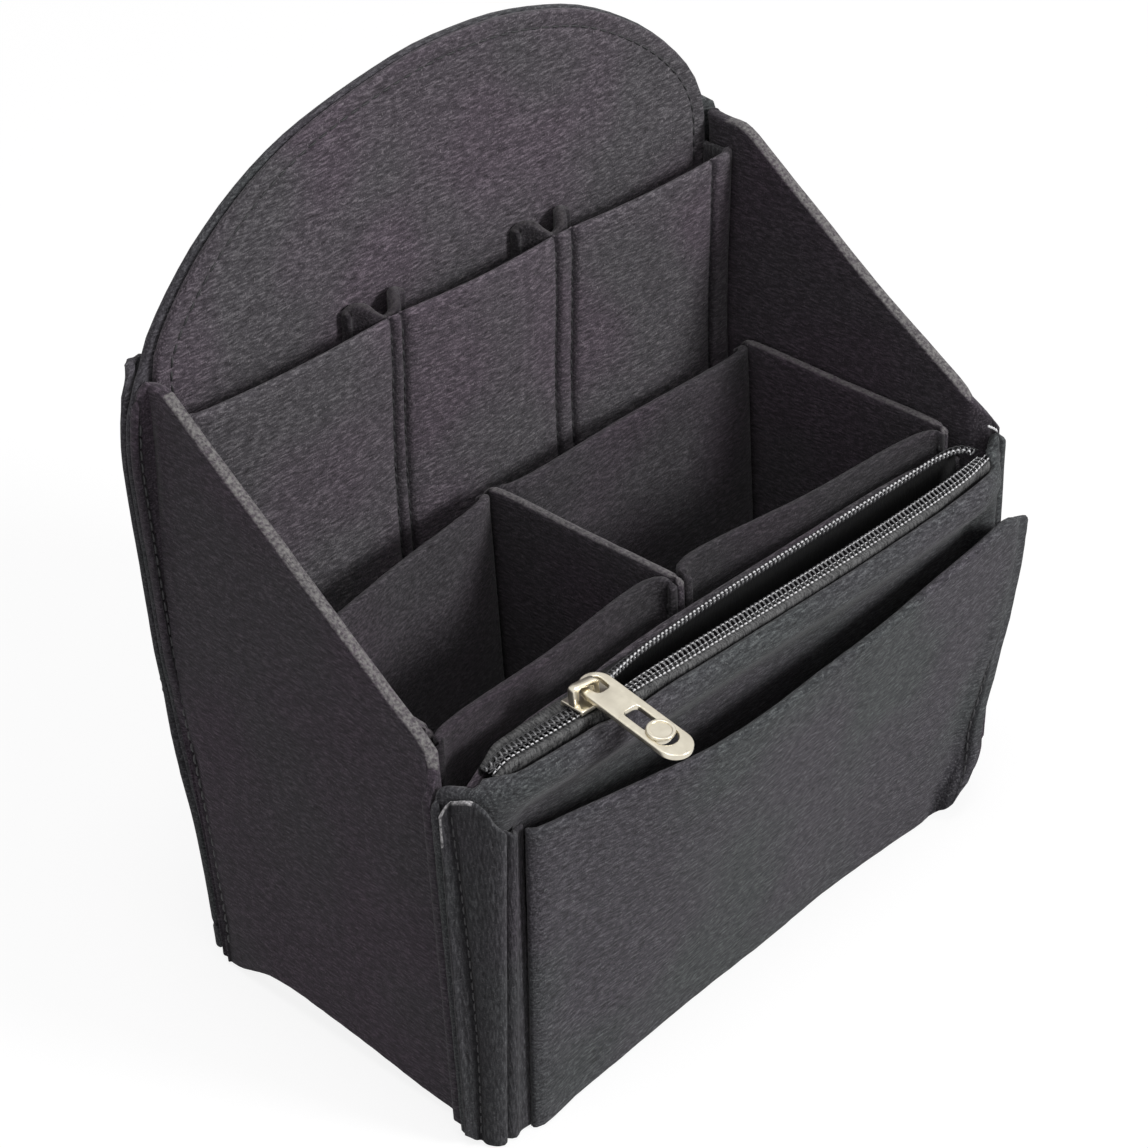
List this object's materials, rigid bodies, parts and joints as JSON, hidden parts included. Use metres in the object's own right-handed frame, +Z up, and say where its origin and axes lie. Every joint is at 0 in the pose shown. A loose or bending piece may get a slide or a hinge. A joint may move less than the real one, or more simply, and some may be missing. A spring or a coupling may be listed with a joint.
{
  "type": "purse organizer insert",
  "caption": "Dark felt organizer insert for a small bag, with a tall arched back, inner pockets, a lift-out divider, a zipped pouch and a bellows pocket in front.",
  "frame": {"origin": "middle of the bottom, on the surface that the organizer stands on", "axes": "+X to the organizer's right as seen from the front, +Y towards its back, +Z up; the front with the zip faces -Y"},
  "size_m": [0.1911, 0.141, 0.214],
  "materials": {
    "felt": "matt needled felt",
    "gusset": "matt thin felt",
    "tape": "woven tape",
    "coil": "glossy",
    "metal": "warm polished nickel"
  },
  "bodies": {
    "organizer": {"back_lining": "felt", "back_panel": "felt", "back_pocket_panel": "felt", "left_side_panel": "felt", "right_side_panel": "felt", "bottom_panel": "felt", "inner_pocket_panel": "felt", "left_pocket_divider": "gusset", "right_pocket_divider": "gusset", "left_pocket_gusset": "gusset", "right_pocket_gusset": "gusset", "zip_coil_rear": "coil", "zip_coil_front": "coil", "zip_tape_rear": "tape", "zip_tape_front": "tape", "pouch_back_panel": "felt", "front_panel": "felt", "front_pocket_panel": "felt", "front_pocket_floor": "gusset", "front_pocket_left_gusset": "gusset"},
    "insert": {"insert_rear_left_wall": "felt", "insert_rear_right_wall": "felt", "insert_front_left_wall": "felt", "insert_front_right_wall": "felt", "insert_left_wall": "felt", "insert_right_wall": "felt", "insert_divider": "felt"},
    "slider": {"zip_slider_body": "metal", "zip_slider_bridge": "metal"},
    "pull": {"zip_pull_plate": "metal", "zip_pull_disc": "metal"}
  },
  "joints": [
    {"name": "slider_slide", "type": "slide", "parent": "organizer", "child": "slider", "axis": [1, 0, 0], "range_m": [-0.026, 0.126], "deforming": ["zip_coil_rear", "zip_coil_front", "zip_tape_rear", "zip_tape_front"]},
    {"name": "pull_swing", "type": "hinge", "parent": "slider", "child": "pull", "pos_m": [-0.0496, -0.0541, 0.1053], "axis": [0, -0.1822, 0.9833], "range_deg": [-15, 90]},
    {"name": "insert_lift", "type": "slide", "parent": "organizer", "child": "insert", "axis": [0, 0, 1], "range_m": [0, 0.115]}
  ]
}
